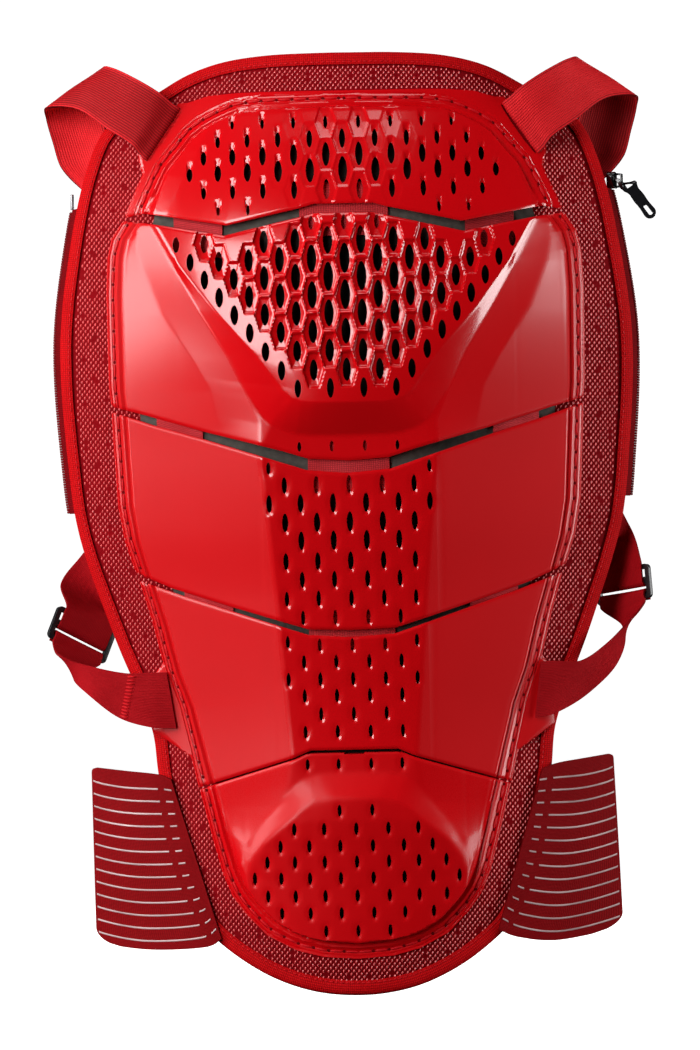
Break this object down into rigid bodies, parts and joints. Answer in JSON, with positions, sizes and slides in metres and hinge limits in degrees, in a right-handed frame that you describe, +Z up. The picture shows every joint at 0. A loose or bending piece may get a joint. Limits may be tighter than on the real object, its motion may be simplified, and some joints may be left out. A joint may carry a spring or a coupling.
{
  "type": "back guard of a motocross armour jacket",
  "caption": "Curved back guard of a riding armour jacket: moulded slotted shells on a bound mesh pad, with elastic shoulder straps, waist webbing, belt wings and open zip halves.",
  "frame": {"origin": "on the wearer's side of the pad, on the spine line at half height, where the back carries it", "axes": "+Z up the spine, +X to the wearer's right, -Y out of the shells, +Y towards the wearer"},
  "size_m": [0.362, 0.1168, 0.5514],
  "materials": {
    "shell_red": "high gloss moulded",
    "pad_mesh": "spacer mesh knit",
    "binding": "folded knit tape",
    "elastic": "ribbed elastic",
    "webbing": "woven webbing",
    "belt_elastic": "woven elastic with grip stripes",
    "foam": "closed-cell foam, matt",
    "link_weave": "fine woven tab",
    "buckle_plastic": "moulded satin",
    "zip_tape": "woven zip tape",
    "zip_chain": "coil teeth",
    "zip_metal": "black enamel",
    "pin_metal": "satin"
  },
  "bodies": {
    "guard": {"back_pad": "pad_mesh", "edge_binding": "binding", "foam_core": "foam", "link_1_left": "link_weave", "link_1_centre": "link_weave", "link_1_right": "link_weave", "link_2_left": "link_weave", "link_2_centre": "link_weave", "link_2_right": "link_weave", "link_3_left": "link_weave", "link_3_centre": "link_weave", "link_3_right": "link_weave", "shell_shoulder": "shell_red", "shell_upper_back": "shell_red", "shell_mid_back": "shell_red", "shell_lower_back": "shell_red", "shell_tail": "shell_red", "shoulder_strap_left": "elastic", "shoulder_strap_right": "elastic", "side_strap_left": "webbing", "side_strap_right": "webbing", "tri_glide_left": "buckle_plastic", "tri_glide_right": "buckle_plastic", "waist_wing_left": "belt_elastic", "waist_wing_right": "belt_elastic", "zip_tape_left": "zip_tape", "zip_tape_right": "zip_tape", "zip_chain_left": "zip_chain", "zip_chain_right": "zip_chain", "zip_pin_left": "pin_metal", "zip_slider": "zip_metal"},
    "zip_pull": {"zip_pull": "zip_metal"}
  },
  "joints": [
    {"name": "zip_pull_hinge", "type": "hinge", "parent": "guard", "child": "zip_pull", "pos_m": [0.16326, 0.05532, 0.2014], "axis": [-0.3, -0.9539, 0], "range_deg": [-26, 110]}
  ]
}
